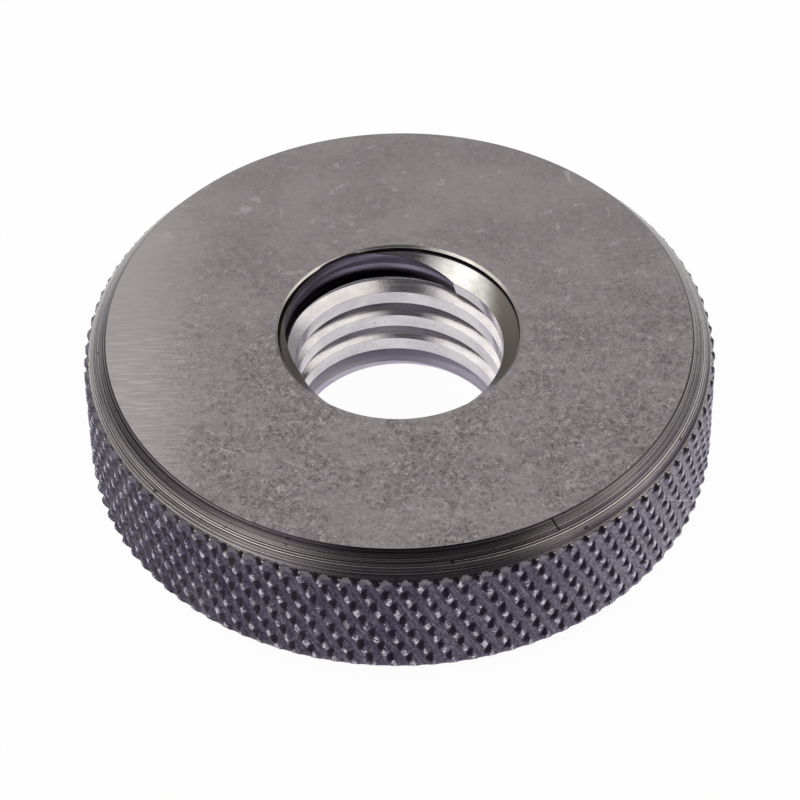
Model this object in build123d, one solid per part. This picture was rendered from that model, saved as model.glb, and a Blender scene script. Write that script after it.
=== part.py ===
"""Plain thread ring gauge for M14 x 2.

One hardened steel ring with a truncated gauging thread, a diamond-knurled rim and turned
chamfers.  Millimetres, +Z up, origin at the centre of the base.
"""
import os
from math import ceil, cos, pi, radians, sin, tan

from build123d import *

# Blank
OUTER_DIAMETER = 38.0            # over the tips of the knurl
THICKNESS = 10.0
TOP_CHAMFER_WIDTH = 1.42         # radial
TOP_CHAMFER_HEIGHT = 1.75
BASE_CHAMFER_WIDTH = 1.42        # radial
BASE_CHAMFER_HEIGHT = 1.38

# Gauging thread, right-hand
ROOT_DIAMETER = 14.0
CREST_DIAMETER = 12.56           # crests cut back to a broad land
PITCH = 2.0
ROOT_FLAT = 0.25
FLANK_ANGLE = 30.0               # between a flank and a plane square to the axis
THREAD_AZIMUTH = 90.0            # where a groove's centre lies at THREAD_DEPTH
THREAD_DEPTH = 2.42              # below the top face

# Countersinks where the bore meets the faces
TOP_MOUTH_DIAMETER = 14.78
BASE_MOUTH_DIAMETER = 14.1
MOUTH_ANGLE = 45.0               # between the countersink and the bore's axis

# Relief that takes away the thread's thin first stretch
RELIEF_DIAMETER = 11.6
RELIEF_OFFSET = 1.61             # from the bore's axis
RELIEF_AZIMUTH = 121.5
RELIEF_DEPTH = 2.2

# Diamond knurl: square pyramids between two hands of V grooves
KNURL_TEETH = 102
KNURL_DEPTH = 0.3
KNURL_LEFT_HELIX = 31.0          # the two knurling wheels tracked at unequal angles
KNURL_RIGHT_HELIX = 25.2
KNURL_ROW_DEPTH = 2.03           # a row of tips below the top face
KNURL_AZIMUTH = -90.6            # of one tip in that row

TOOL_OVERRUN = 1.0               # how far cutters run past what they cut
RIM_STOCK = 0.2                  # left on the blank's rim, for the knurl to be formed from

OUTER_RADIUS = OUTER_DIAMETER / 2
ROOT_RADIUS = ROOT_DIAMETER / 2
CREST_RADIUS = CREST_DIAMETER / 2


def turned_blank():
    """The ring before knurling, with its chamfers and countersinks and some stock on the rim."""
    rim = OUTER_RADIUS + RIM_STOCK
    top_rim_edge = THICKNESS - TOP_CHAMFER_HEIGHT * (1 + RIM_STOCK / TOP_CHAMFER_WIDTH)
    base_rim_edge = BASE_CHAMFER_HEIGHT * (1 + RIM_STOCK / BASE_CHAMFER_WIDTH)
    top_mouth = TOP_MOUTH_DIAMETER / 2
    base_mouth = BASE_MOUTH_DIAMETER / 2
    top_mouth_height = (top_mouth - CREST_RADIUS) / tan(radians(MOUTH_ANGLE))
    base_mouth_height = (base_mouth - CREST_RADIUS) / tan(radians(MOUTH_ANGLE))
    profile = Polyline(
        (base_mouth, 0),
        (OUTER_RADIUS - BASE_CHAMFER_WIDTH, 0),
        (rim, base_rim_edge),
        (rim, top_rim_edge),
        (OUTER_RADIUS - TOP_CHAMFER_WIDTH, THICKNESS),
        (top_mouth, THICKNESS),
        (CREST_RADIUS, THICKNESS - top_mouth_height),
        (CREST_RADIUS, base_mouth_height),
        close=True,
    )
    section = Plane.XZ * make_face(profile)
    return revolve(section, axis=Axis.Z)


def thread_groove():
    """The helical groove that a tap would cut, one turn at a time, run out past both faces."""
    inner_radius = CREST_RADIUS - (ROOT_RADIUS - CREST_RADIUS) / 2
    half_root = ROOT_FLAT / 2
    half_mouth = half_root + (ROOT_RADIUS - inner_radius) * tan(radians(FLANK_ANGLE))
    section = Plane.XZ * make_face(
        Polyline(
            (inner_radius, -half_mouth),
            (ROOT_RADIUS, -half_root),
            (ROOT_RADIUS, half_root),
            (inner_radius, half_mouth),
            close=True,
        )
    )
    helix = Helix(pitch=PITCH, height=PITCH, radius=ROOT_RADIUS)
    one_turn = Rot(0, 0, THREAD_AZIMUTH) * sweep(section, path=helix, is_frenet=True)
    turn_start = THICKNESS - THREAD_DEPTH
    turns_above = ceil(THREAD_DEPTH / PITCH)
    turns_below = ceil(turn_start / PITCH) + 1
    return [Pos(0, 0, turn_start + PITCH * turn) * one_turn for turn in range(-turns_below, turns_above)]


def first_turn_relief():
    """A shallow eccentric pocket in the upper mouth."""
    height = RELIEF_DEPTH + TOOL_OVERRUN
    azimuth = radians(RELIEF_AZIMUTH)
    centre = (RELIEF_OFFSET * cos(azimuth), RELIEF_OFFSET * sin(azimuth))
    cutter = Cylinder(RELIEF_DIAMETER / 2, height, align=(Align.CENTER, Align.CENTER, Align.MIN))
    return Pos(*centre, THICKNESS - RELIEF_DEPTH) * cutter


def knurled_drum():
    """A closed drum, taller than the ring's rim, whose side is nothing but knurl pyramids.

    Left-hand and right-hand groove lines are numbered round the rim.  Each pyramid stands on
    the four points where two neighbouring grooves of one hand cross two of the other.
    """
    root_radius = OUTER_RADIUS - KNURL_DEPTH
    arc_pitch = 2 * pi * OUTER_RADIUS / KNURL_TEETH
    left_slope = tan(radians(KNURL_LEFT_HELIX))
    row_height = arc_pitch / (left_slope + tan(radians(KNURL_RIGHT_HELIX)))
    first_row = -ceil(KNURL_ROW_DEPTH / row_height)
    last_row = ceil((THICKNESS - KNURL_ROW_DEPTH) / row_height)

    def on_rim(line, row, radius):
        """A point on left-hand line `line`, `row` rows below the first."""
        drop = row * row_height
        angle = radians(KNURL_AZIMUTH) + (line * arc_pitch - left_slope * drop) / OUTER_RADIUS
        return Vector(radius * cos(angle), radius * sin(angle), THICKNESS - KNURL_ROW_DEPTH - drop)

    # groove crossings lie half a pitch either side of the tips in their row
    crossing = {
        (line, row): on_rim(line - 0.5, row, root_radius)
        for line in range(KNURL_TEETH)
        for row in range(first_row - 1, last_row + 2)
    }
    lid = Vector(0, 0, crossing[0, first_row].Z + TOOL_OVERRUN + row_height)
    floor_point = Vector(0, 0, crossing[0, last_row].Z - TOOL_OVERRUN - row_height)

    triangles = []
    for row in range(first_row, last_row + 1):
        for line in range(KNURL_TEETH):
            after = (line + 1) % KNURL_TEETH
            base = [
                crossing[line, row],
                crossing[after, row + 1],
                crossing[after, row],
                crossing[line, row - 1],
            ]
            tip = on_rim(line, row, OUTER_RADIUS)
            triangles += [(tip, base[k], base[(k + 1) % 4]) for k in range(4)]
            if row == first_row:
                triangles += [(lid, base[2], base[3]), (lid, base[3], base[0])]
            if row == last_row:
                triangles += [(floor_point, base[0], base[1]), (floor_point, base[1], base[2])]
    return Solid(Shell([Face(Wire.make_polygon(corners)) for corners in triangles]))


gauge_ring = turned_blank() - thread_groove() - first_turn_relief()
gauge_ring = gauge_ring & knurled_drum()

os.makedirs("parts", exist_ok=True)
export_step(gauge_ring, "parts/gauge_ring.step")
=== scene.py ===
"""Looks of the thread ring gauge: a fine closed mesh in place of the plain solid, its finishes,
the light and the camera."""
from math import atan2, ceil, cos, pi, radians, sin, sqrt, tan

import bpy
import numpy as np
from mathutils import Matrix, Vector


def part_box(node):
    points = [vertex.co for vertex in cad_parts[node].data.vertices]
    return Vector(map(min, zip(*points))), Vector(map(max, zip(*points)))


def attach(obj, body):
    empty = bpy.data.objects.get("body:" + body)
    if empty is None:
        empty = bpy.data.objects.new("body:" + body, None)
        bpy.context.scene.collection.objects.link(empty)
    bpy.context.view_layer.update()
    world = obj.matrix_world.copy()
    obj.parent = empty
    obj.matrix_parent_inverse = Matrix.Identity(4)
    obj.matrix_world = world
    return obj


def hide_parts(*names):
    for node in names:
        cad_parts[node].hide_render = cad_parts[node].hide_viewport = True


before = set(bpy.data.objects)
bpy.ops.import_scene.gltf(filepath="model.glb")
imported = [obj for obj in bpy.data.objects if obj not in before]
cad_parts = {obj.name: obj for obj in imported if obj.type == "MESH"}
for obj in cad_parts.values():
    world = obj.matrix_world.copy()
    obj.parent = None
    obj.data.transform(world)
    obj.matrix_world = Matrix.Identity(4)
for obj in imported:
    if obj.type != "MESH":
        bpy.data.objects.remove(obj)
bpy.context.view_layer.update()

MM = 0.001                       # the frame is in metres, the sizes below in millimetres

# ---------------------------------------------------------------- sizes, as in the solid
low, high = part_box("gauge_ring")
THICKNESS = (high[2] - low[2]) / MM
OUTER_RADIUS = (high[1] - low[1]) / 2 / MM
CHAMFER_WIDTH = 1.42
TOP_CHAMFER_HEIGHT = 1.75
BASE_CHAMFER_HEIGHT = 1.38
ROOT_RADIUS = 7.0
CREST_RADIUS = 6.28
PITCH = 2.0
ROOT_FLAT = 0.25
FLANK_SLOPE = tan(radians(30.0))
THREAD_AZIMUTH = radians(90.0)
THREAD_DEPTH = 2.42              # of a groove's centre below the top face at that azimuth
MOUTH_RADIUS = 7.39
BASE_MOUTH_RADIUS = 7.05
RELIEF_RADIUS = 5.8
RELIEF_OFFSET = 1.61
RELIEF_AZIMUTH = radians(121.5)
RELIEF_DEPTH = 2.2
KNURL_TEETH = 102
KNURL_DEPTH = 0.3
LEFT_SLOPE = tan(radians(31.0))
RIGHT_SLOPE = tan(radians(25.2))
KNURL_ROW_DEPTH = 2.03
KNURL_AZIMUTH = radians(-90.6)

# ---------------------------------------------------------------- fineness of the mesh
CELLS = 12                       # columns to one knurl pitch
COARSE = 4                       # rim columns to one column elsewhere
COLUMNS = KNURL_TEETH * CELLS
COARSE_COLUMNS = COLUMNS // COARSE
ARC_PITCH = 2 * pi * OUTER_RADIUS / KNURL_TEETH
ROW_HEIGHT = ARC_PITCH / (LEFT_SLOPE + RIGHT_SLOPE)
LEAN = (RIGHT_SLOPE - LEFT_SLOPE) / 2        # of the knurl's columns, from the unequal grooves
SUB_ROW = 2 * ROW_HEIGHT / CELLS             # between rows of points over the knurl
KNURL_START = 1.12               # the knurl's fine rows run from this far below the top face
KNURL_END = 0.85                 # to this far above the base
TURNED_ROW = 0.0235              # between rows on the turned part of the top chamfer
BASE_ROWS = 5                    # on the base chamfer, below the knurl

EDGE = 0.035                     # rounding of the edges
EDGE_INSET = 0.3 * EDGE          # middle of a face's rounded outer edge: inside the sharp one
EDGE_DROP = 0.012                # and below the face
EDGE_FOOT = 1.3 * EDGE           # depth at which that rounding ends
THREAD_EDGE = 0.012              # rounding of the thread's corners
SHARP_ANGLE = radians(32)        # edges that bend less than this are shaded smooth

FACE, CHAMFER, KNURL, THREAD, MOUTH, RELIEF, LIP, BEVEL = range(8)


class RingMesh:
    """Points and triangles of the ring, each triangle with its finish."""

    def __init__(self):
        self.points = []
        self.wear = []           # height of the knurl at each point, 1 on a tip
        self.gaps = []           # how deep each point lies in a gap or a turning groove, up to 1
        self.triangles = []
        self.finishes = []

    def ring(self, angles, radii, heights, wear=0.0, gap=0.0):
        """Adds one point for each angle and returns their numbers."""
        first = len(self.points)
        radii = np.broadcast_to(radii, len(angles))
        heights = np.broadcast_to(heights, len(angles))
        self.points += list(zip(radii * np.cos(angles), radii * np.sin(angles), heights))
        self.wear += list(np.broadcast_to(wear, len(angles)))
        self.gaps += list(np.broadcast_to(gap, len(angles)))
        return np.arange(first, first + len(angles))

    def triangle(self, a, b, c, finish):
        self.triangles.append((int(a), int(b), int(c)))
        self.finishes.append(finish)

    def band(self, upper, lower, finish):
        """Quads between two rings of equal count, each cut in two."""
        for k in range(len(upper)):
            n = (k + 1) % len(upper)
            self.triangle(upper[k], lower[k], lower[n], finish)
            self.triangle(upper[k], lower[n], upper[n], finish)

    def fan_band(self, coarse, fine, finish, flip):
        """Joins a ring to one with COARSE times as many points; flip if the coarse one is below."""
        count = len(fine)
        half = COARSE // 2
        for k in range(len(coarse)):
            n = (k + 1) % len(coarse)
            steps = [fine[(COARSE * k + s) % count] for s in range(COARSE + 1)]
            made = [(coarse[k], steps[s], steps[s + 1]) for s in range(half)]
            made.append((coarse[k], steps[half], coarse[n]))
            made += [(coarse[n], steps[s], steps[s + 1]) for s in range(half, COARSE)]
            for a, b, c in made:
                self.triangle(*((a, c, b) if flip else (a, b, c)), finish)


NOISE_ROWS = 64                  # cells in v before the noise repeats


def smooth_noise(u, v, period_u, seed, octaves=3):
    """Value noise that repeats in u after period_u cells, from -1 to 1."""
    total = np.zeros(np.broadcast(u, v).shape)
    weight = 1.0
    norm = 0.0
    for octave in range(octaves):
        scale = 2 ** octave
        cells = int(period_u * scale)
        table = np.random.RandomState(seed + octave).uniform(-1, 1, (cells, NOISE_ROWS))
        x, y = u * scale, v * scale
        i, j = np.floor(x).astype(int), np.floor(y).astype(int)
        fx, fy = x - i, y - j
        fx, fy = fx * fx * (3 - 2 * fx), fy * fy * (3 - 2 * fy)
        value = 0
        for di, wx in ((0, 1 - fx), (1, fx)):
            for dj, wy in ((0, 1 - fy), (1, fy)):
                value = value + wx * wy * table[(i + di) % cells, (j + dj) % NOISE_ROWS]
        total = total + weight * value
        norm += weight
        weight *= 0.5
    return total / norm


# ---------------------------------------------------------------- rim
TIP_LAND = 0.26                  # share of the ridges' height that the tips have lost
TIP_SPREAD = 0.05                # how much that varies from tip to tip
SIDE_SPREAD = 0.03               # how much the right-hand grooves' sides vary in steepness
STEEPER = 1.15                   # the left-hand grooves' sides are steeper by this
BAND = 3.3 / CELLS               # flat floor of the right-hand grooves, as a share of the pitch
GAP = 0.12                       # flat floor of the left-hand ones
GAP_MARGIN = 0.05                # a gap begins this much before the left-hand sides are the lower
STRAY = 0.09                     # how far the ridges wander, as a share of the pitch
STRAY_ROWS = 3.0                 # rows over which that changes
UNEVEN_PRESS = 0.30              # share of its depth that the knurl lacks at its shallowest
SHALLOW_AZIMUTH = radians(-35.0)
TIP_INSET = 0.02                 # the highest tips' distance inside the rim, before pitting
RIM_GAP = 0.002                  # the least distance after it
PITTING = 0.02                   # height of the knurl's fine unevenness
PITTING_ROWS = 2.0               # rows over which it changes
NOISE_COLUMNS = 4                # columns over which it and the ridges' wandering change
STRAY_SEEDS = 31, 47
PITTING_SEED = 5
SLIVER = 0.07                    # the chamfer's finish ends this far inside the rim
PLAIN_GAP = 0.3                  # how dark the chamfer is where no groove is modelled
TURNED_END = 0.05                # from the last turned row to the knurl's first
BASE_START = 0.1                 # and from the knurl's last row to the base chamfer's first
rng = np.random.RandomState(14)
tip_loss = rng.normal(0, TIP_SPREAD, (KNURL_TEETH, KNURL_TEETH))
side_slope = rng.normal(0, SIDE_SPREAD, (KNURL_TEETH, KNURL_TEETH))


def knurl_noise(column, row, rows, seed, octaves=3):
    """Unevenness along one row of the knurl, which changes over this many rows."""
    down = np.full(np.shape(column), row / rows)
    return smooth_noise(column / NOISE_COLUMNS, down, COLUMNS // NOISE_COLUMNS, seed, octaves)


def knurl_height(column, row):
    """Height over the grooves' floor, from 0 to 1, and how far into a gap between two tips."""
    stray_a, stray_b = (knurl_noise(column, row, STRAY_ROWS, seed, 2) for seed in STRAY_SEEDS)
    a = (column + row) / CELLS + STRAY * stray_a
    b = (column - row) / CELLS + STRAY * stray_b
    line_a, line_b = np.round(a).astype(int), np.round(b).astype(int)
    tooth = (line_a % KNURL_TEETH, line_b % KNURL_TEETH)
    off_a = np.maximum(1 - 2 * np.abs(a - line_a) - GAP, 0) / (1 - GAP)
    off_b = np.maximum(1 - 2 * np.abs(b - line_b) - BAND, 0) / (1 - BAND)
    ridge = off_b * (1 + side_slope[tooth])
    notch = off_a * STEEPER
    cap = 1 - TIP_LAND - np.abs(tip_loss[tooth])
    height = np.minimum(np.minimum(ridge, notch), cap) / (1 - TIP_LAND)
    gap = np.clip(ridge + GAP_MARGIN - notch, 0, 1)
    return np.maximum(height, 0), gap


def chamfer_radius(depth):
    """Radius of the rim at this depth below the top face, without knurl or grooves."""
    top = OUTER_RADIUS - CHAMFER_WIDTH * (1 - depth / TOP_CHAMFER_HEIGHT)
    base = OUTER_RADIUS - CHAMFER_WIDTH * (1 - (THICKNESS - depth) / BASE_CHAMFER_HEIGHT)
    return np.minimum(top, base)


TURNING_DEPTH = 0.014            # of the deepest turning grooves in the top chamfer
TURNING_PERIOD = 0.124           # from groove to groove
TURNING_SHIFT = 1.2              # their spacing drifts: by this, in radians of a groove
SHIFT_RATE = 7.3                 # and at this rate, in radians for each millimetre
TURNING_UNEVEN = 0.35            # and so does their depth: by this share
UNEVEN_RATE = 9.0
UNEVEN_START = 1.0


def turning(depth):
    """How deep the turning grooves are at this depth below the top face."""
    shift = TURNING_SHIFT * np.sin(SHIFT_RATE * depth)
    wave = 0.5 - 0.5 * np.cos(2 * pi * depth / TURNING_PERIOD + shift)
    deep = 1 - TURNING_UNEVEN + TURNING_UNEVEN * np.sin(UNEVEN_RATE * depth + UNEVEN_START)
    return TURNING_DEPTH * wave ** 2 * deep


def column_angle(column, depth):
    """Azimuth of a column, which leans with the knurl."""
    arc = column * ARC_PITCH / CELLS + LEAN * (depth - KNURL_ROW_DEPTH)
    return KNURL_AZIMUTH + arc / OUTER_RADIUS


def rim_rows():
    """Rows of points over the knurl, twice as close where the top chamfer cuts the teeth."""
    first = ceil((KNURL_START - KNURL_ROW_DEPTH) / SUB_ROW)
    last = int((THICKNESS - KNURL_END - KNURL_ROW_DEPTH) / SUB_ROW)
    return list(np.arange(first, 0, 0.5)) + list(range(0, last + 1))


def build_rim(mesh):
    """The outer shell from the top face's edge to the base's; returns its first and last rings."""
    columns = np.arange(COLUMNS)
    pressed = 1 - UNEVEN_PRESS * (1 + np.cos(column_angle(columns, 0.0) - SHALLOW_AZIMUTH)) / 2
    knurl_depth = KNURL_DEPTH * pressed
    coarse_columns = np.arange(COARSE_COLUMNS) * COARSE

    def knurl_radius(height):
        return OUTER_RADIUS - TIP_INSET - knurl_depth * (1 - height)

    def coarse_ring(depth, radius, gap=PLAIN_GAP):
        return mesh.ring(column_angle(coarse_columns, depth), radius, THICKNESS - depth, gap=gap)

    rows = rim_rows()
    depths = [KNURL_ROW_DEPTH + row * SUB_ROW for row in rows]
    face_radius = OUTER_RADIUS - CHAMFER_WIDTH
    top = [coarse_ring(0.0, face_radius - EDGE), coarse_ring(EDGE_DROP, face_radius - EDGE_INSET)]
    turned = depths[0] - TURNED_END
    for depth in np.linspace(EDGE_FOOT, turned, ceil(turned / TURNED_ROW)):
        cut = turning(depth)
        top.append(coarse_ring(depth, chamfer_radius(depth) - cut, gap=cut / TURNING_DEPTH))
    for upper, lower in zip(top, top[1:]):
        mesh.band(upper, lower, CHAMFER)

    fine = []
    on_chamfer = []
    radii = []
    for row, depth in zip(rows, depths):
        height, gap = knurl_height(columns, row)
        pits = PITTING * knurl_noise(columns, row, PITTING_ROWS, PITTING_SEED)
        knurled = np.minimum(knurl_radius(height) + pits, OUTER_RADIUS - RIM_GAP)
        cone = chamfer_radius(depth)
        radius = np.minimum(knurled, cone)
        radii.append(radius)
        on_chamfer.append(cone <= knurled)
        wear = np.where(cone <= knurled, 0.0, height)
        gap = np.where(cone <= knurled, PLAIN_GAP, gap)
        fine.append(mesh.ring(column_angle(columns, depth), radius, THICKNESS - depth, wear, gap))
    mesh.fan_band(top[-1], fine[0], CHAMFER, flip=False)
    for k in range(len(rows) - 1):
        mid_row = (rows[k] + rows[k + 1]) / 2
        mid_depth = (depths[k] + depths[k + 1]) / 2
        middle = knurl_radius(knurl_height(columns + 0.5, mid_row)[0])
        middle = np.minimum(middle, chamfer_radius(mid_depth))
        on_turned = chamfer_radius(mid_depth) < OUTER_RADIUS - SLIVER
        for c in range(COLUMNS):
            n = (c + 1) % COLUMNS
            falling = (radii[k][c] + radii[k + 1][n]) / 2
            rising = (radii[k + 1][c] + radii[k][n]) / 2
            a, b, d, e = fine[k][c], fine[k + 1][c], fine[k + 1][n], fine[k][n]
            flags = on_chamfer[k][c], on_chamfer[k + 1][c], on_chamfer[k + 1][n], on_chamfer[k][n]
            if abs(falling - middle[c]) <= abs(rising - middle[c]):
                halves = ((a, b, d), (0, 1, 2)), ((a, d, e), (0, 2, 3))
            else:
                halves = ((a, b, e), (0, 1, 3)), ((b, d, e), (1, 2, 3))
            for corners, which in halves:
                cut = on_turned and all(flags[w] for w in which)
                mesh.triangle(*corners, CHAMFER if cut else KNURL)

    base = []
    for depth in np.linspace(depths[-1] + BASE_START, THICKNESS - EDGE_FOOT, BASE_ROWS):
        base.append(coarse_ring(depth, chamfer_radius(depth)))
    base.append(coarse_ring(THICKNESS - EDGE_DROP, face_radius - EDGE_INSET))
    base.append(coarse_ring(THICKNESS, face_radius - EDGE))
    mesh.fan_band(base[0], fine[-1], CHAMFER, flip=True)
    for upper, lower in zip(base, base[1:]):
        mesh.band(upper, lower, CHAMFER)
    return top[0], base[-1]


# ---------------------------------------------------------------- bore
MOUTH_BEVEL = 0.105              # bright bevel where the bore meets the top face
BEVEL_DRIFT = 0.035              # it is wider by this at the back right, and narrower opposite
BEVEL_AZIMUTH = radians(45.0)
LIP_DEPTH = 0.45                 # foot of the lip under it, painted near black as its shadow
LIP_TAPER = 0.05
LEFT_LIP_TAPER = 0.15            # more taper at the left
RELIEF_TAPER = 0.11              # the relief is wider at its foot by this
FIRST_GROOVE = 1.45              # the thread's groove starts bluntly this far below the top face
LEFT_RELIEF_OFFSET = 1.5         # a second cut of the relief, which draws it out to the left
LEFT_RELIEF_AZIMUTH = radians(138.0)
FLOOR_STEP = 0.01                # a cutter's floor drops away over this depth
RELIEF_STEP = 0.03               # and the relief's over this
BEYOND = 1                       # how far the cutters run past the faces
INSIDE = 5                       # a radius inside the crests, where the cones may end
SAME_SLOPE = 1e-4                # two runs whose slopes differ by less are one
TINY = 1e-12                     # keeps a slope finite
SHORTEST_RUN = 1e-6              # a corner at a shorter run is left out
IN_LINE = -0.995                 # cosine at a corner that needs no rounding
CORNER_SHARE = 0.3               # a rounded corner takes at most this share of a run


def relief_radius(angle, offset, azimuth):
    """Radius at this azimuth of the relief's circle, which stands off the axis."""
    turned = angle - azimuth
    return offset * cos(turned) + sqrt(RELIEF_RADIUS ** 2 - (offset * sin(turned)) ** 2)


def bore_shapes(angle):
    """What each cutter leaves at this azimuth: pairs of a finish and its (depth, radius) points."""
    below = THICKNESS + BEYOND
    flank_depth = (ROOT_RADIUS - CREST_RADIUS) * FLANK_SLOPE
    centre = THREAD_DEPTH - PITCH * (angle - THREAD_AZIMUTH) / (2 * pi)
    thread = []
    first = int(np.floor((-BEYOND - centre) / PITCH))
    for turn in range(first, first + ceil((THICKNESS + PITCH + BEYOND) / PITCH) + 1):
        c = centre + turn * PITCH
        if c < FIRST_GROOVE:
            thread += [(c, CREST_RADIUS)]
            continue
        thread += [
            (c - ROOT_FLAT / 2 - flank_depth, CREST_RADIUS),
            (c - ROOT_FLAT / 2, ROOT_RADIUS),
            (c + ROOT_FLAT / 2, ROOT_RADIUS),
            (c + ROOT_FLAT / 2 + flank_depth, CREST_RADIUS),
        ]
    width = MOUTH_BEVEL + BEVEL_DRIFT * cos(angle - BEVEL_AZIMUTH)
    lip = MOUTH_RADIUS - width
    foot = lip - LIP_TAPER - LEFT_LIP_TAPER * max(0, -cos(angle)) ** 2
    top_cone = [(0, foot), (LIP_DEPTH, foot), (LIP_DEPTH + foot - INSIDE, INSIDE), (below, 0)]
    base_start = THICKNESS - BASE_MOUTH_RADIUS + INSIDE
    base_cone = [(0, 0), (base_start, INSIDE), (THICKNESS, BASE_MOUTH_RADIUS)]
    relief = max(relief_radius(angle, RELIEF_OFFSET, RELIEF_AZIMUTH),
                 relief_radius(angle, LEFT_RELIEF_OFFSET, LEFT_RELIEF_AZIMUTH))
    pocket = [(0, relief - RELIEF_TAPER), (RELIEF_DEPTH, relief), (RELIEF_DEPTH + RELIEF_STEP, 0),
              (below, 0)]
    wall = [(0, lip), (LIP_DEPTH, foot), (LIP_DEPTH + FLOOR_STEP, 0), (below, 0)]
    bevel = [(0, MOUTH_RADIUS), (width, lip), (width + FLOOR_STEP, 0), (below, 0)]
    return [(THREAD, thread), (MOUTH, top_cone), (MOUTH, base_cone), (RELIEF, pocket),
            (LIP, wall), (BEVEL, bevel)]


def outline(shapes):
    """The widest cut at each depth, as depths, radii and the finish below each point."""
    depths = {0.0, THICKNESS}
    for _, run in shapes:
        depths |= {d for d, _ in run if 0 < d < THICKNESS}
    depths = sorted(depths)
    values = [np.interp(depths, *zip(*run)) for _, run in shapes]
    crossings = []
    for k in range(len(depths) - 1):
        for i in range(len(shapes)):
            for j in range(i + 1, len(shapes)):
                left = values[i][k] - values[j][k]
                right = values[i][k + 1] - values[j][k + 1]
                if left * right < 0:
                    run = depths[k + 1] - depths[k]
                    crossings.append(depths[k] + run * left / (left - right))
    depths = np.array(sorted(depths + crossings))
    values = np.array([np.interp(depths, *zip(*run)) for _, run in shapes])
    radii = values.max(axis=0)
    middles = (depths[:-1] + depths[1:]) / 2
    owner = np.array([np.interp(middles, *zip(*run)) for _, run in shapes]).argmax(axis=0)
    keep = [0]
    for k in range(1, len(depths) - 1):
        before = (radii[k] - radii[keep[-1]]) / (depths[k] - depths[keep[-1]] + TINY)
        after = (radii[k + 1] - radii[k]) / (depths[k + 1] - depths[k] + TINY)
        if abs(before - after) > SAME_SLOPE or owner[k] != owner[k - 1]:
            keep.append(k)
    keep.append(len(depths) - 1)
    finishes = [shapes[owner[k]][0] for k in keep[:-1]]
    return depths[keep], radii[keep], finishes


def rounded(depths, radii, finishes):
    """The outline with each corner cut back a little, so that edges catch the light."""
    out_d, out_r, out_f = [depths[0]], [radii[0]], []
    for k in range(1, len(depths) - 1):
        here = np.array((depths[k], radii[k]))
        before = np.array((depths[k - 1], radii[k - 1])) - here
        after = np.array((depths[k + 1], radii[k + 1])) - here
        lb, la = np.linalg.norm(before), np.linalg.norm(after)
        if lb < SHORTEST_RUN or la < SHORTEST_RUN:
            continue
        bend = before @ after / (lb * la)
        out_f.append(finishes[k - 1])
        if bend < IN_LINE:
            out_d.append(here[0])
            out_r.append(here[1])
            continue
        size = THREAD_EDGE if THREAD in (finishes[k - 1], finishes[k]) else EDGE
        cut_b, cut_a = min(size, CORNER_SHARE * lb), min(size, CORNER_SHARE * la)
        first, second = here + before / lb * cut_b, here + after / la * cut_a
        out_d += [first[0], second[0]]
        out_r += [first[1], second[1]]
        out_f.append(finishes[k])
    out_f.append(finishes[-1])
    out_d.append(depths[-1])
    out_r.append(radii[-1])
    return out_d, out_r, out_f


def build_bore(mesh, angles):
    """The bore's wall; returns its rings at the top face and at the base."""
    columns = []
    for angle in angles:
        depths, radii, finishes = rounded(*outline(bore_shapes(angle)))
        first = len(mesh.points)
        for depth, radius in zip(depths, radii):
            mesh.points.append((radius * cos(angle), radius * sin(angle), THICKNESS - depth))
            mesh.wear.append(0.0)
            mesh.gaps.append(0.0)
        columns.append((first, np.array(depths), finishes))
    count = len(columns)
    step = PITCH / count
    for k in range(count):
        first_a, depths_a, finish_a = columns[k]
        first_b, depths_b, finish_b = columns[(k + 1) % count]
        # the thread climbs by one step from a column to the next
        keys_a, keys_b = depths_a, depths_b + step
        i = j = 0
        while i < len(keys_a) - 1 or j < len(keys_b) - 1:
            a_left, b_left = i < len(keys_a) - 1, j < len(keys_b) - 1
            if not b_left or (a_left and keys_a[i + 1] <= keys_b[j + 1]):
                mesh.triangle(first_a + i, first_b + j, first_a + i + 1, finish_a[i])
                i += 1
            else:
                mesh.triangle(first_a + i, first_b + j, first_b + j + 1, finish_b[j])
                j += 1
    top = np.array([first for first, _, _ in columns])
    base = np.array([first + len(depths) - 1 for first, depths, _ in columns])
    return top, base


def shading_normals(points, corners):
    """A normal for each triangle's corner, from the faces round it that turn little.

    Larger faces count for more, so a flat wall stays flat up to its rounded edges.
    """
    first, second, third = (points[corners[:, k]] for k in range(3))
    areas = np.cross(second - first, third - first)
    units = areas / np.linalg.norm(areas, axis=1)[:, None]
    vertex = corners.ravel()
    order = np.argsort(vertex, kind="stable")
    counts = np.bincount(vertex, minlength=len(points))
    starts = np.cumsum(counts) - counts
    face = np.repeat(np.arange(len(corners)), 3)
    total = np.zeros((len(vertex), 3))
    for k in range(counts.max()):
        has = counts[vertex] > k
        neighbour = face[order[starts[vertex[has]] + k]]
        near = (units[neighbour] * units[face[has]]).sum(axis=1) > cos(SHARP_ANGLE)
        total[has] += areas[neighbour] * near[:, None]
    return total / np.linalg.norm(total, axis=1)[:, None]


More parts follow.
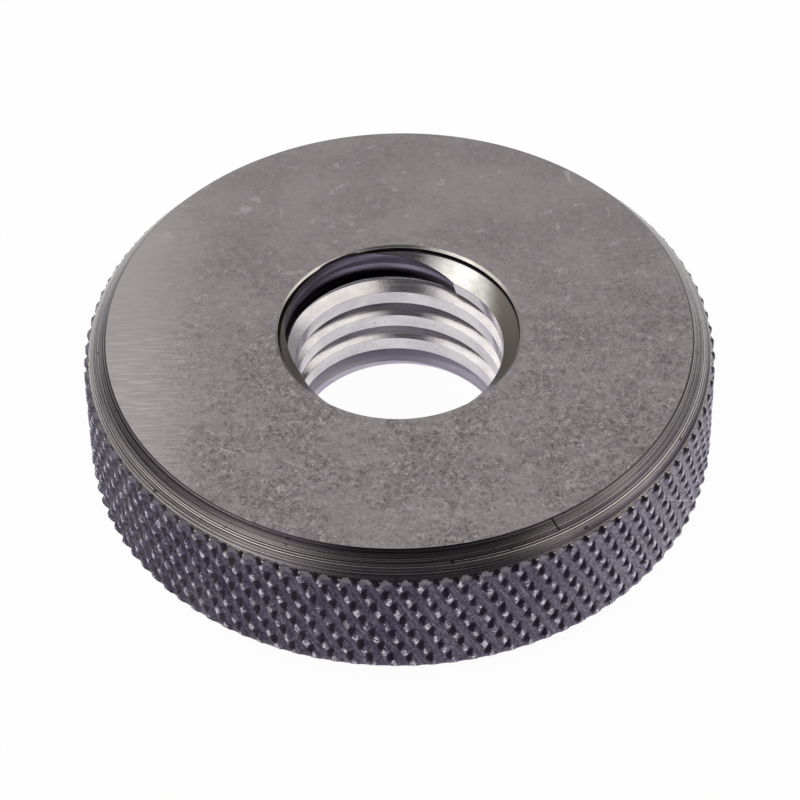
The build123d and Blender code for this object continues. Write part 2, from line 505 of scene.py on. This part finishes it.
def build_ring(materials):
    """The whole ring as one closed mesh, with a material for each finish."""
    mesh = RingMesh()
    rim_top, rim_base = build_rim(mesh)
    angles = column_angle(np.arange(COARSE_COLUMNS) * COARSE, 0.0)
    bore_top, bore_base = build_bore(mesh, angles)
    mesh.band(bore_top, rim_top, FACE)
    mesh.band(rim_base, bore_base, FACE)

    data = bpy.data.meshes.new("gauge_ring_fine")
    points = np.array(mesh.points) * MM
    data.vertices.add(len(points))
    data.vertices.foreach_set("co", points.ravel())
    corners = np.array(mesh.triangles, dtype=np.int32)
    data.loops.add(corners.size)
    data.loops.foreach_set("vertex_index", corners.ravel())
    data.polygons.add(len(corners))
    data.polygons.foreach_set("loop_start", np.arange(0, corners.size, 3, dtype=np.int32))
    for material in materials:
        data.materials.append(material)
    data.polygons.foreach_set("material_index", np.array(mesh.finishes, dtype=np.int32))
    data.update(calc_edges=True)
    data.validate()
    for name, values in (("wear", mesh.wear), ("gap", mesh.gaps)):
        layer = data.attributes.new(name, "FLOAT", "POINT")
        layer.data.foreach_set("value", np.array(values, dtype=np.float32))
    data.shade_smooth()
    data.normals_split_custom_set(shading_normals(points, corners).tolist())
    piece = bpy.data.objects.new("gauge_ring_fine", data)
    bpy.context.collection.objects.link(piece)
    return piece


# ---------------------------------------------------------------- finishes
# each pair: where an effect begins and where it is full, in millimetres
FRESH_X = (-10.0, -16.5)         # the face's grinding streaks still show at the left
WORN_Y = (12.0, -9.0)            # the face is more worn in front than at the back
STREAK_HIGHLIGHT_Y = (3.0, -3.0)           # and its streaks carry a painted highlight, stronger there
SHADE_Z = (THICKNESS - 0.8, THICKNESS - 0.3)     # the chamfer is darker near its upper edge
SHADE_X = (5.0, 13.0)            # but less so at the right
RIGHT_LIGHT_X = (5.0, 18.0)             # painted light: the knurl is lighter at the right
DULL_SHADED_X = (5.0, 6.3)              # the mouth is rougher at both sides and painted darker there, a painted shade
EXIT_Z = (2.1, 1.8)              # the bore is rougher near the base too, with a painted lilac shade there
CHAMFER_FOOT = THICKNESS - TOP_CHAMFER_HEIGHT
CUT_Z = (CHAMFER_FOOT - 0.15, CHAMFER_FOOT + 0.05)      # the knurl's ends, cut by the chamfer

MIX_SHARE, MIX_FIRST, MIX_SECOND, MIX_RESULT = 0, 6, 7, 2      # a colour mix node's sockets


class Nodes:
    """Makes and joins the nodes of one tree."""

    def __init__(self, tree):
        self.tree = tree

    def node(self, kind, inputs=None, **settings):
        made = self.tree.nodes.new(kind)
        for name, value in settings.items():
            setattr(made, name, value)
        for name, value in (inputs or {}).items():
            socket = made.inputs[name]
            if isinstance(value, bpy.types.NodeSocket):
                self.tree.links.new(value, socket)
            else:
                socket.default_value = value
        return made

    def vector(self, operation, a, b=(0, 0, 0), output=0):
        inputs = {0: a, "Scale" if operation == "SCALE" else 1: b}
        return self.node("ShaderNodeVectorMath", inputs, operation=operation).outputs[output]

    def maths(self, operation, a, b=0.0):
        return self.node("ShaderNodeMath", {0: a, 1: b}, operation=operation).outputs[0]

    def times(self, a, b):
        return self.maths("MULTIPLY", a, b)

    def ramp(self, value, low, high, start=0.0, end=1.0):
        """Runs smoothly from start, where the value is low, to end, where it is high."""
        inputs = {"Value": value, "From Min": low, "From Max": high, "To Min": start, "To Max": end}
        return self.node("ShaderNodeMapRange", inputs, interpolation_type="SMOOTHSTEP").outputs[0]


class Finish(Nodes):
    """A node material built around one metallic shader."""

    def __init__(self, name, roughness, metallic=1.0):
        self.material = bpy.data.materials.new(name)
        self.material.use_nodes = True
        super().__init__(self.material.node_tree)
        self.shader = self.tree.nodes["Principled BSDF"]
        self.shader.inputs["Metallic"].default_value = metallic
        self.shader.inputs["Roughness"].default_value = roughness
        self.where = self.node("ShaderNodeTexCoord").outputs["Object"]
        self.place = self.node("ShaderNodeSeparateXYZ", {"Vector": self.where}).outputs

    def layer(self, name):
        """A value that the mesh carries at its points."""
        return self.node("ShaderNodeAttribute", attribute_name=name).outputs["Fac"]

    def along(self, axis, span, start=0.0, end=1.0):
        """A ramp along X, Y or Z, over a span in millimetres."""
        return self.ramp(self.place[axis], span[0] * MM, span[1] * MM, start, end)

    def stretched(self, x, y, z, where=None):
        """Coordinates in which a unit is 1/x, 1/y and 1/z millimetres."""
        where = self.where if where is None else where
        scale = (x / MM, y / MM, z / MM)
        return self.node("ShaderNodeMapping", {"Vector": where, "Scale": scale}).outputs[0]

    def round_axis(self, around, outward, along):
        """Coordinates that run round the bore's axis, outward from it and along it."""
        flat = self.vector("MULTIPLY", self.where, (1, 1, 0))
        radius = self.vector("LENGTH", flat, output="Value")
        turned = self.vector("SCALE", self.vector("NORMALIZE", flat), around)
        both = self.maths("ADD", self.times(radius, outward / MM),
                          self.times(self.place["Z"], along / MM))
        lift = self.node("ShaderNodeCombineXYZ", {"Z": both}).outputs[0]
        return self.vector("ADD", turned, lift)

    def noise(self, vector, detail=3.0, roughness=0.6, scale=1.0, distortion=0.0):
        inputs = {"Vector": vector, "Scale": scale, "Detail": detail, "Roughness": roughness,
                  "Distortion": distortion}
        return self.node("ShaderNodeTexNoise", inputs).outputs["Fac"]

    def mark(self, start, end, width):
        """1 near the line between two points, given in millimetres, and 0 elsewhere."""
        start, end = Vector(start) * MM, Vector(end) * MM
        run = end - start
        from_start = self.vector("SUBTRACT", self.where, start)
        share = self.vector("DOT_PRODUCT", from_start, run / run.length_squared, "Value")
        share = self.maths("MINIMUM", self.maths("MAXIMUM", share, 0.0), 1.0)
        nearest = self.vector("SCALE", run, share)
        away = self.vector("LENGTH", self.vector("SUBTRACT", from_start, nearest), output="Value")
        return self.ramp(away, width * MM, width * MM / 2)

    def blend(self, share, first, second):
        """The first colour, turning into the second by this share."""
        inputs = {MIX_SHARE: share, MIX_FIRST: first, MIX_SECOND: second}
        return self.node("ShaderNodeMix", inputs, data_type="RGBA").outputs[MIX_RESULT]

    def coats(self, colour, *coats, within=None):
        """The colour under coats of (value, where it shows, where it is full, strength, tone)."""
        for value, low, high, strength, coat in coats:
            cover = self.ramp(value, low, high, 0.0, strength)
            if within is not None:
                cover = self.times(within, cover)
            colour = self.blend(cover, colour, coat)
        return colour

    def finished(self, colour, roughness, *bumps):
        """The material, with its bumps as (height from 0 to 1, distance in millimetres)."""
        normal = None
        for height, distance in bumps:
            inputs = {"Height": height, "Strength": 1.0, "Distance": distance * MM}
            if normal is not None:
                inputs["Normal"] = normal
            normal = self.node("ShaderNodeBump", inputs).outputs[0]
        for name, value in (("Base Color", colour), ("Roughness", roughness), ("Normal", normal)):
            self.tree.links.new(value, self.shader.inputs[name])
        return self.material


def tone(red, green, blue):
    """A colour given as it shows on a screen, from 0 to 255."""
    def linear(value):
        value /= 255
        return value / 12.92 if value <= 0.04045 else ((value + 0.055) / 1.055) ** 2.4
    return (linear(red), linear(green), linear(blue), 1.0)


def ground_face():
    made = Finish("ground_face", 0.34, metallic=0.65)
    lines = made.noise(made.stretched(0.5, 8.0, 8.0), detail=1.0, roughness=0.5)
    patches = made.noise(made.stretched(0.24, 0.28, 0.28), detail=4.0)
    flakes = made.noise(made.stretched(1.3, 1.5, 1.5), 5.0, 0.7, distortion=0.6)
    crumbs = made.noise(made.stretched(3.4, 3.0, 3.0), 5.0, 0.8, distortion=1.2)
    blooms = made.noise(made.stretched(0.8, 0.9, 0.9), 4.0, scale=1.1, distortion=0.8)
    specks = made.noise(made.stretched(5.0, 5.0, 5.0), 2.0, scale=1.3)
    fresh = made.along("X", FRESH_X)
    worn = made.along("Y", WORN_Y, 0.25, 1.0)
    etched = made.times(worn, made.ramp(patches, 0.36, 0.58, 0.5, 1.0))
    etched = made.times(etched, made.ramp(fresh, 0.3, 1.0, 1.0, 0.3))
    colour = made.blend(made.ramp(patches, 0.35, 0.65), tone(149, 144, 146), tone(139, 134, 136))
    colour = made.coats(
        colour,
        (flakes, 0.48, 0.62, 0.60, tone(112, 107, 109)),
        (flakes, 0.44, 0.33, 0.55, tone(176, 172, 172)),
        (crumbs, 0.51, 0.61, 1.00, tone(94, 89, 91)),
        (crumbs, 0.45, 0.35, 1.00, tone(188, 184, 184)),
        within=etched,
    )
    colour = made.coats(
        colour,
        (blooms, 0.60, 0.70, 0.45, tone(186, 181, 184)),
        (specks, 0.69, 0.74, 0.60, tone(66, 61, 64)),
    )
    colour = made.blend(made.times(fresh, 0.75), colour, tone(174, 170, 170))
    # painted highlight: warm light along the grinding streaks at the left, stronger in front
    streaks = made.times(fresh, made.along("Y", STREAK_HIGHLIGHT_Y, 0.25, 1.0))
    colour = made.coats(colour, (lines, 0.46, 0.66, 0.55, tone(200, 195, 190)), within=streaks)
    rough = made.ramp(crumbs, 0.40, 0.60, 0.31, 0.40)
    return made.finished(colour, rough, (made.times(fresh, lines), 0.003),
                         (made.times(etched, crumbs), 0.010), (flakes, 0.008))


# small knocks on the chamfer's upper edge: two ends and half the width, in millimetres
KNOCKS = [
    ((8.48, -15.36, 10.0), (8.88, -15.68, 9.46), 0.07),
    ((9.10, -15.02, 9.98), (9.42, -14.92, 9.85), 0.05),
]


def turned_chamfer():
    made = Finish("turned_chamfer", 0.3)
    depth = made.layer("gap")
    grooves = made.noise(made.round_axis(0.15, 0.0, 13.0), detail=2.0)
    fine = made.noise(made.round_axis(0.4, 0.0, 24.0), detail=2.0)
    patches = made.noise(made.stretched(0.4, 0.4, 0.4), detail=4.0)
    blots = made.noise(made.stretched(1.6, 1.6, 2.2), detail=4.0, roughness=0.65)
    colour = made.blend(made.ramp(patches, 0.35, 0.65), tone(114, 108, 115), tone(136, 130, 135))
    # painted highlight: the fine turning lines show as cream streaks of light
    colour = made.coats(colour, (fine, 0.50, 0.58, 0.85, tone(226, 221, 214)))
    colour = made.blend(made.ramp(grooves, 0.43, 0.53, 0.85, 0.0), colour, tone(40, 36, 42))
    shade = made.times(made.along("Z", SHADE_Z, 0.0, 0.7), made.along("X", SHADE_X, 1.0, 0.35))
    colour = made.blend(shade, colour, tone(52, 46, 54))
    colour = made.coats(
        colour,
        (depth, 0.35, 0.90, 0.75, tone(40, 35, 42)),
        (blots, 0.64, 0.69, 0.85, tone(36, 31, 38)),
    )
    for start, end, width in KNOCKS:
        colour = made.blend(made.mark(start, end, width), colour, tone(22, 18, 22))
    rough = made.ramp(fine, 0.3, 0.7, 0.20, 0.32)
    return made.finished(colour, rough, (grooves, 0.014), (fine, 0.005))


# a fine scratch over the knurl
SCRATCH_AZIMUTH = -35.9          # degrees, at this height
SCRATCH_HEIGHT = 6.65
SCRATCH_TURN = 3.12              # degrees for each millimetre down
SCRATCH_WIDTH = 0.0024           # half its width, in radians
SCRATCH_Z = (7.0, 6.5)           # its upper end


def knurled_rim():
    made = Finish("knurled_rim", 0.4)
    wear, gap = made.layer("wear"), made.layer("gap")
    x, y, z = (made.place[axis] for axis in "XYZ")
    twist = made.times(z, RIGHT_SLOPE / (OUTER_RADIUS * MM))
    turn = {"Vector": made.where, "Angle": twist}
    twisted = made.node("ShaderNodeVectorRotate", turn, rotation_type="Z_AXIS").outputs[0]
    scores = made.noise(made.stretched(6.5, 6.5, 0.7, twisted))
    patches = made.noise(made.stretched(0.3, 0.3, 0.3), detail=4.0)
    grain = made.noise(made.stretched(4.5, 4.5, 4.5), 5.0, 0.7)
    tear = made.noise(made.stretched(4.0, 4.0, 4.0), 4.0, 0.8, scale=1.2)
    centred = made.maths("SUBTRACT", tear, 0.5)
    hollow = made.maths("ADD", gap, made.times(centred, 2.2))
    worn_tips_and_glints = made.maths("ADD", wear, made.times(centred, 2.4))
    cut_end = made.along("Z", CUT_Z)
    colour = made.blend(made.ramp(patches, 0.35, 0.65), tone(98, 91, 111), tone(120, 113, 129))
    # painted light on the knurl's right side
    colour = made.blend(made.along("X", RIGHT_LIGHT_X, 0.0, 0.85), colour, tone(184, 176, 193))
    colour = made.coats(
        colour,
        (grain, 0.42, 0.62, 0.6, tone(60, 53, 70)),
        (scores, 0.52, 0.64, 0.5, tone(156, 150, 165)),
        (scores, 0.46, 0.34, 0.5, tone(52, 46, 62)),
        (hollow, -0.15, 0.20, 0.6, tone(60, 53, 72)),
        (hollow, 0.08, 0.50, 0.9, tone(28, 23, 38)),
    )
    colour = made.coats(
        colour,
        (gap, 0.45, 0.15, 0.50, tone(150, 145, 152)),
        (gap, 0.15, 0.45, 0.85, tone(30, 25, 36)),
        within=cut_end,
    )
    # the worn tips painted bright: partly their polished metal, partly a painted highlight
    colour = made.coats(colour, (worn_tips_and_glints, 0.78, 1.10, 0.95, tone(216, 210, 224)))
    azimuth = made.maths("ADD", made.maths("ARCTAN2", y, x),
                         made.times(z, radians(SCRATCH_TURN) / MM))
    scratch_azimuth = radians(SCRATCH_AZIMUTH + SCRATCH_TURN * SCRATCH_HEIGHT)
    aside = made.maths("ABSOLUTE", made.maths("SUBTRACT", azimuth, scratch_azimuth))
    scratch = made.ramp(aside, SCRATCH_WIDTH, SCRATCH_WIDTH / 2)
    scratch = made.times(scratch, made.along("Z", SCRATCH_Z))
    colour = made.blend(made.times(scratch, 0.6), colour, tone(226, 222, 230))
    rough = made.ramp(worn_tips_and_glints, 0.8, 1.0, 0.42, 0.26)
    return made.finished(colour, rough, (grain, 0.035), (scores, 0.03), (tear, 0.07))


def bright_bore(name, roughness, dark, light, dull_shaded_sides=0.0):
    made = Finish(name, roughness)
    turning_marks = made.noise(made.round_axis(0.6, 7.0, 7.0))
    patches = made.noise(made.stretched(0.5, 0.5, 0.7), detail=4.0)
    specks = made.noise(made.stretched(4.0, 4.0, 4.0))
    sideways = made.maths("ABSOLUTE", made.place["X"])
    dull_and_shaded = made.ramp(sideways, DULL_SHADED_X[0] * MM, DULL_SHADED_X[1] * MM, 0.0, dull_shaded_sides)
    exit_band = made.along("Z", EXIT_Z)
    colour = made.blend(made.ramp(patches, 0.3, 0.7), dark, light)
    colour = made.coats(colour, (turning_marks, 0.55, 0.75, 0.2, dark))
    # painted shade: a darker olive on the mouth's sides
    colour = made.blend(dull_and_shaded, colour, tone(132, 128, 121))
    # painted shade: a lilac-grey tint near the base, for the shaded table the bore reflects there
    colour = made.blend(made.times(exit_band, 0.6), colour, tone(194, 187, 210))
    colour = made.coats(colour, (specks, 0.68, 0.73, 0.6, tone(90, 84, 92)))
    rough = made.ramp(turning_marks, 0.3, 0.7, roughness * 0.7, roughness * 1.4)
    rough = made.maths("ADD", rough, made.times(dull_and_shaded, 0.34))
    rough = made.maths("ADD", rough, made.times(exit_band, 0.4))
    return made.finished(colour, rough, (turning_marks, 0.003), (patches, 0.02))


# painted light and shade: a dark wall with a lit band of streaks across the middle of its height,
# and painted shadow at its top and foot
def dark_relief(name, dark, light):
    made = Finish(name, 0.38)
    streaks = made.noise(made.round_axis(0.5, 0.0, 2.0), detail=4.0)
    grain = made.noise(made.round_axis(4.0, 0.0, 5.0))
    middle = THICKNESS - RELIEF_DEPTH / 2
    lit = made.times(made.along("Z", (middle + 0.85, middle + 0.55)),
                     made.along("Z", (middle - 0.78, middle - 0.33)))
    lit = made.times(lit, made.ramp(streaks, 0.40, 0.60, 0.25, 1.0))
    colour = made.blend(lit, dark, light)
    colour = made.coats(colour, (grain, 0.64, 0.72, 0.5, tone(150, 146, 158)))
    rough = made.ramp(grain, 0.3, 0.7, 0.3, 0.5)
    return made.finished(colour, rough, (streaks, 0.03))


# ---------------------------------------------------------------- ring
materials = [
    ground_face(),
    turned_chamfer(),
    knurled_rim(),
    bright_bore("bright_thread", 0.17, tone(189, 185, 191), tone(210, 207, 210)),
    bright_bore("bright_mouth", 0.17, tone(172, 170, 173), tone(198, 197, 194), 1.0),
    dark_relief("dark_relief", tone(34, 29, 38), tone(140, 133, 154)),
    # painted shadow: the lip under the bevel is near black
    dark_relief("dark_lip", tone(22, 19, 22), tone(44, 40, 44)),
    bright_bore("mouth_bevel", 0.28, tone(172, 169, 165), tone(198, 195, 190)),
]
ring = build_ring(materials)
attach(ring, "root")
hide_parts("gauge_ring")

# ---------------------------------------------------------------- floor
FLOOR_SIZE = 3.0                 # metres
FLOOR_COLOUR = (0.9, 0.9, 0.9, 1)
FLOOR_ROUGHNESS = 0.9
FLOOR_SHARE = 0.96               # of the floor's white that shows whatever the light
FLOOR_DROP = 0.02 * MM           # below the ring's base
WHITE = (1, 1, 1, 1)


def pale_floor():
    data = bpy.data.meshes.new("floor")
    half = FLOOR_SIZE / 2
    corners = [(-half, -half, 0), (half, -half, 0), (half, half, 0), (-half, half, 0)]
    data.from_pydata(corners, [], [(0, 1, 2, 3)])
    made = Finish("pale_floor", FLOOR_ROUGHNESS, metallic=0.0)
    made.shader.inputs["Base Color"].default_value = FLOOR_COLOUR
    rays = made.node("ShaderNodeLightPath").outputs
    seen = made.maths("MAXIMUM", rays["Is Camera Ray"], rays["Is Glossy Ray"])
    seen = made.maths("MAXIMUM", seen, rays["Is Transmission Ray"])
    share = made.times(seen, FLOOR_SHARE)
    white = made.node("ShaderNodeEmission", {"Color": WHITE, "Strength": 1.0}).outputs[0]
    mix = {0: share, 1: made.shader.outputs[0], 2: white}
    mixed = made.node("ShaderNodeMixShader", mix).outputs[0]
    made.tree.links.new(mixed, made.tree.nodes["Material Output"].inputs["Surface"])
    data.materials.append(made.material)
    floor = bpy.data.objects.new("floor", data)
    bpy.context.collection.objects.link(floor)
    floor.location.z = -FLOOR_DROP
    return floor


pale_floor()

# ---------------------------------------------------------------- light
# azimuth, elevation, angle of the full glow, angle where it ends, colour, strength
GLOWS = [
    (180, 50, 18, 55, (1.0, 0.97, 0.985), 0.46),
    (-88, 48, 18, 38, (1.0, 0.985, 0.91), 1.30),
    (-54, 38, 14, 24, (1.0, 0.985, 0.96), 0.90),
    (88, 48, 18, 38, (1.0, 0.985, 0.89), 1.20),
    (-155, 38, 12, 42, (1.0, 0.98, 0.97), 0.35),
    (-130, 4, 8, 30, (1.0, 0.97, 0.90), 0.22),
    (130, 4, 8, 30, (1.0, 0.97, 0.90), 0.22),
    (-92, 6, 8, 30, (0.97, 0.95, 1.0), 0.15),
    (92, 8, 10, 34, (0.98, 0.96, 1.0), 0.45),
]
SKY = (0.10, 0.095, 0.103)

# name, azimuth, elevation, size in metres, radiance, colour
LAMPS = [
    ("front_left_box", -46, 22, 0.18, 0.8, (1.0, 0.97, 0.91)),
    ("front_right_box", 52, 22, 0.14, 1.0, (1.0, 0.97, 0.92)),
    ("right_box", 80, 14, 0.16, 0.7, (1.0, 0.98, 0.96)),
]
LAMP_DISTANCE = 0.7              # metres


def direction(azimuth, elevation):
    """Unit vector; azimuth 0 is the front, towards the viewer, and 90 the right."""
    a, e = radians(azimuth), radians(elevation)
    return Vector((sin(a) * cos(e), -cos(a) * cos(e), sin(e)))


def studio_world():
    """Soft glows on a dim sky, which the camera itself sees as white."""
    world = bpy.data.worlds.new("studio")
    world.use_nodes = True
    world.node_tree.nodes.clear()
    made = Nodes(world.node_tree)
    where = made.node("ShaderNodeTexCoord").outputs["Generated"]
    total = SKY
    for azimuth, elevation, inner, outer, colour, strength in GLOWS:
        facing = made.vector("DOT_PRODUCT", where, direction(azimuth, elevation), "Value")
        share = made.ramp(facing, cos(radians(outer)), cos(radians(inner)))
        glow = made.vector("SCALE", [c * strength for c in colour], share)
        total = made.vector("ADD", glow, total)
    lit = made.node("ShaderNodeBackground", {"Color": total}).outputs[0]
    plain = made.node("ShaderNodeBackground", {"Color": WHITE}).outputs[0]
    seen = made.node("ShaderNodeLightPath").outputs["Is Camera Ray"]
    mixed = made.node("ShaderNodeMixShader", {0: seen, 1: lit, 2: plain}).outputs[0]
    made.node("ShaderNodeOutputWorld", {"Surface": mixed})
    bpy.context.scene.world = world


def lamp(name, azimuth, elevation, size, radiance, colour):
    """A square soft box facing the ring, of a given brightness to look at."""
    data = bpy.data.lights.new(name, "AREA")
    data.shape = "SQUARE"
    data.size = size
    data.energy = radiance * pi * size * size
    data.color = colour
    box = bpy.data.objects.new(name, data)
    bpy.context.collection.objects.link(box)
    towards = direction(azimuth, elevation)
    box.location = towards * LAMP_DISTANCE
    box.rotation_euler = towards.to_track_quat("Z", "Y").to_euler()


studio_world()
for settings in LAMPS:
    lamp(*settings)

# ---------------------------------------------------------------- camera
FRAME_PIXELS = 800
SENSOR = 36.0
FOCAL_PIXELS = 3821.0
CLIP_START = 0.01                # metres
CAMERA_ELEVATION = radians(44.875)
CAMERA_ROLL = radians(0.972)
CAMERA_DISTANCE = 228.63 * MM    # from the top face's centre
FACE_CENTRE_RIGHT = -1.09        # pixels from the picture's centre
FACE_CENTRE_UP = 70.09


def place_camera():
    data = bpy.data.cameras.new("camera")
    data.sensor_width = SENSOR
    data.lens = FOCAL_PIXELS * SENSOR / FRAME_PIXELS
    data.clip_start = CLIP_START
    camera = bpy.data.objects.new("camera", data)
    bpy.context.collection.objects.link(camera)
    up, back = sin(CAMERA_ELEVATION), cos(CAMERA_ELEVATION)
    level = Matrix(((1, 0, 0), (0, up, -back), (0, back, up)))
    roll = Matrix.Rotation(-CAMERA_ROLL, 3, "Z")
    tilt = Matrix.Rotation(-atan2(FACE_CENTRE_UP, FOCAL_PIXELS), 3, "X")
    turn = Matrix.Rotation(atan2(FACE_CENTRE_RIGHT, FOCAL_PIXELS), 3, "Y")
    aim = level @ roll @ tilt @ turn
    place = Vector((0, 0, THICKNESS * MM)) + CAMERA_DISTANCE * Vector((0, -back, up))
    camera.matrix_world = Matrix.Translation(place) @ aim.to_4x4()
    bpy.context.scene.camera = camera


place_camera()
bpy.context.scene.view_settings.view_transform = "Standard"
